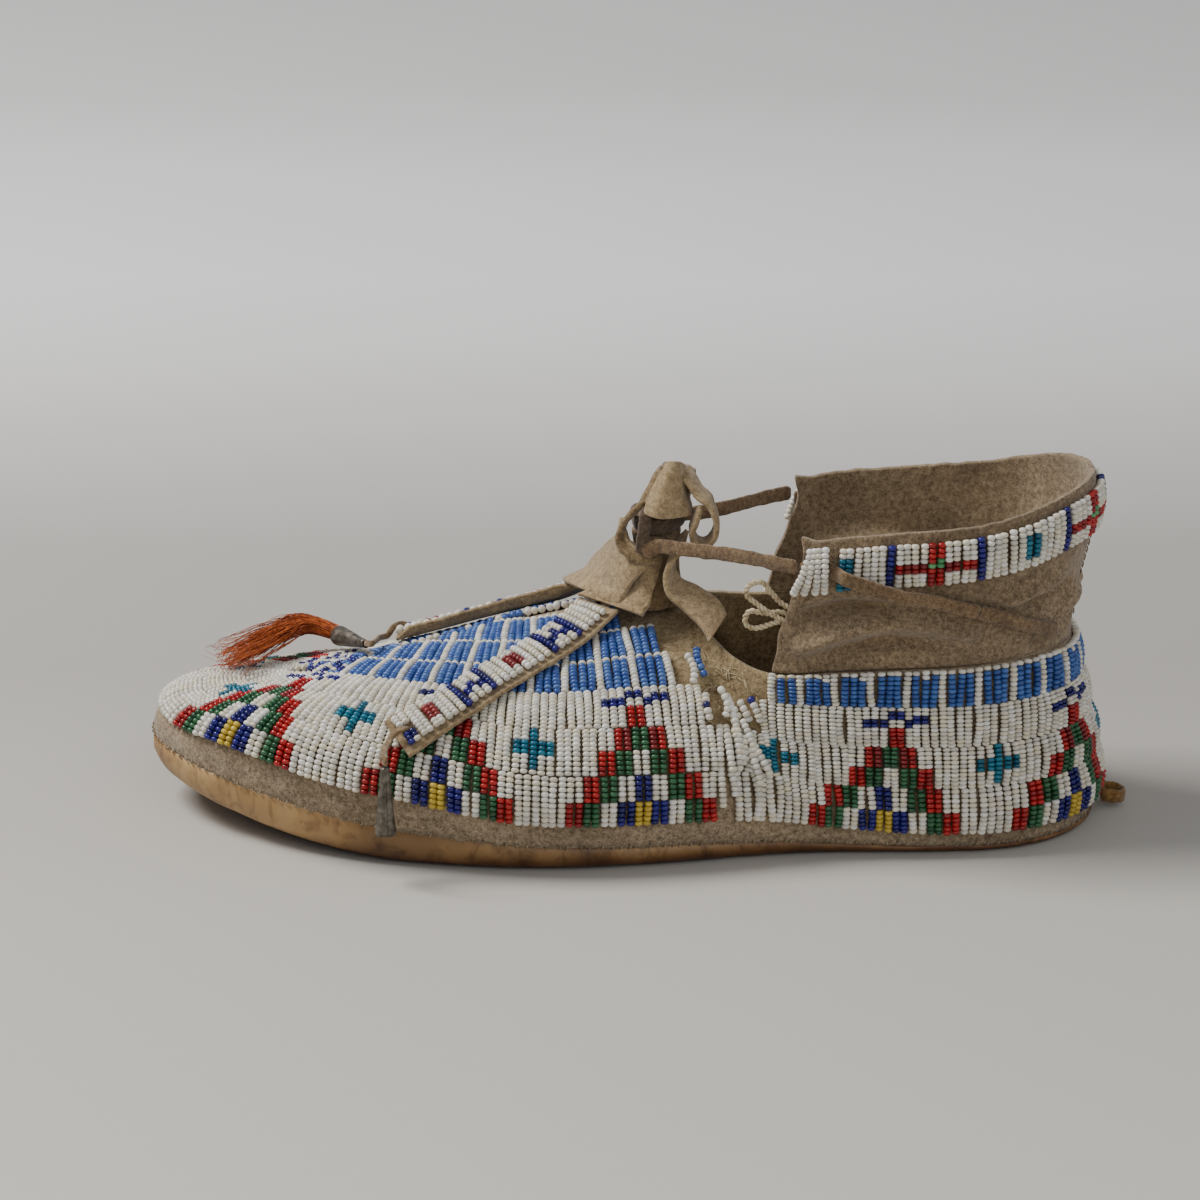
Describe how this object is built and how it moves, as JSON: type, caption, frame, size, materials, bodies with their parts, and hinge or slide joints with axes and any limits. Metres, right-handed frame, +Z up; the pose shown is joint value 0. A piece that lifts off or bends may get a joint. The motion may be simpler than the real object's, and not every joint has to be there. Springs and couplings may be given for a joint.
{
  "type": "moccasin",
  "caption": "Hard-soled hide ankle moccasin with a beaded upper, beaded cuff, forked beaded tongue, hide lace and two hanging tin cones.",
  "frame": {"origin": "middle of the bounding box in plan, on the surface the sole stands on", "axes": "+X from the toe to the heel along the shoe, +Y from the outer (lateral) side to the inner (medial) side of this left moccasin, +Z up"},
  "size_m": [0.2495, 0.1053, 0.094],
  "materials": {
    "rawhide": "hard smooth rawhide, satin",
    "suede_hide": "smoked hide with a soft nap, matt",
    "tongue_hide": "soft brain-tanned hide, matt",
    "glass_beads": "opaque glass seed beads, gloss",
    "thong_leather": "dark suede thong, matt",
    "tin": "dull tarnished tin",
    "horsehair": "dyed horsehair",
    "sinew": "twisted sinew thread"
  },
  "bodies": {
    "shoe": {"bead_lane_1": "glass_beads", "bead_lane_2": "glass_beads", "bead_lane_3_heel": "glass_beads", "bead_lane_3_vamp": "glass_beads", "bead_lane_4_heel": "glass_beads", "cuff_back": "suede_hide", "cuff_band_back": "glass_beads", "cuff_seam_thread": "sinew", "heel_seam_thread": "sinew", "heel_tab": "thong_leather", "lace_back_lateral": "thong_leather", "lace_back_medial": "thong_leather", "lace_front_lateral": "thong_leather", "lace_front_medial": "thong_leather", "lace_heel_inner": "thong_leather", "lace_knot": "thong_leather", "loose_vamp_strings": "glass_beads", "rawhide_sole": "rawhide", "sole_seam_thread": "sinew", "tongue": "tongue_hide", "tongue_side_flap": "tongue_hide", "upper": "suede_hide", "vamp_lane_1_lateral": "glass_beads", "vamp_lane_1_medial": "glass_beads", "vamp_lane_2_lateral": "glass_beads", "vamp_lane_2_medial": "glass_beads", "vamp_lane_3_lateral": "glass_beads"},
    "lateral_fork": {"fork_lateral": "tongue_hide", "fork_beads_lateral": "glass_beads", "cone_thong_lateral": "thong_leather"},
    "medial_fork": {"fork_medial": "tongue_hide", "fork_beads_medial": "glass_beads", "cone_thong_medial": "thong_leather"},
    "lateral_cone": {"tin_cone_lateral": "tin"},
    "medial_cone": {"tin_cone_medial": "tin", "horsehair_tuft": "horsehair"},
    "lateral_wing": {"cuff_wing_lateral": "suede_hide", "cuff_band_lateral": "glass_beads", "lace_wing_lateral": "thong_leather", "bead_loops_lateral": "glass_beads"},
    "medial_wing": {"cuff_wing_medial": "suede_hide", "cuff_band_medial": "glass_beads", "lace_wing_medial": "thong_leather", "bead_loops_medial": "glass_beads"}
  },
  "joints": [
    {"name": "lateral_fork_lift", "type": "hinge", "parent": "shoe", "child": "lateral_fork", "pos_m": [-0.01046, -0.0018, 0.05648], "axis": [-0.7737, 0.6328, 0.0317], "range_deg": [0, 50]},
    {"name": "medial_fork_lift", "type": "hinge", "parent": "shoe", "child": "medial_fork", "pos_m": [-0.01413, 0.01954, 0.05439], "axis": [0.0935, 0.9055, -0.414], "range_deg": [0, 50]},
    {"name": "lateral_cone_swing", "type": "hinge", "parent": "lateral_fork", "child": "lateral_cone", "pos_m": [-0.06261, -0.05012, 0.0304], "axis": [0, 1, 0], "range_deg": [-30, 30]},
    {"name": "medial_cone_lift", "type": "hinge", "parent": "medial_fork", "child": "medial_cone", "pos_m": [-0.06961, 0.00808, 0.042], "axis": [0.908, 0.4191, 0], "range_deg": [0, 55]},
    {"name": "lateral_wing_lean", "type": "hinge", "parent": "shoe", "child": "lateral_wing", "pos_m": [0.05846, -0.02687, 0.04748], "axis": [0.9993, 0.0154, 0.0352], "range_deg": [0, 18]},
    {"name": "medial_wing_lean", "type": "hinge", "parent": "shoe", "child": "medial_wing", "pos_m": [0.05846, 0.03654, 0.04748], "axis": [-0.997, 0.0684, -0.0351], "range_deg": [0, 18]}
  ]
}
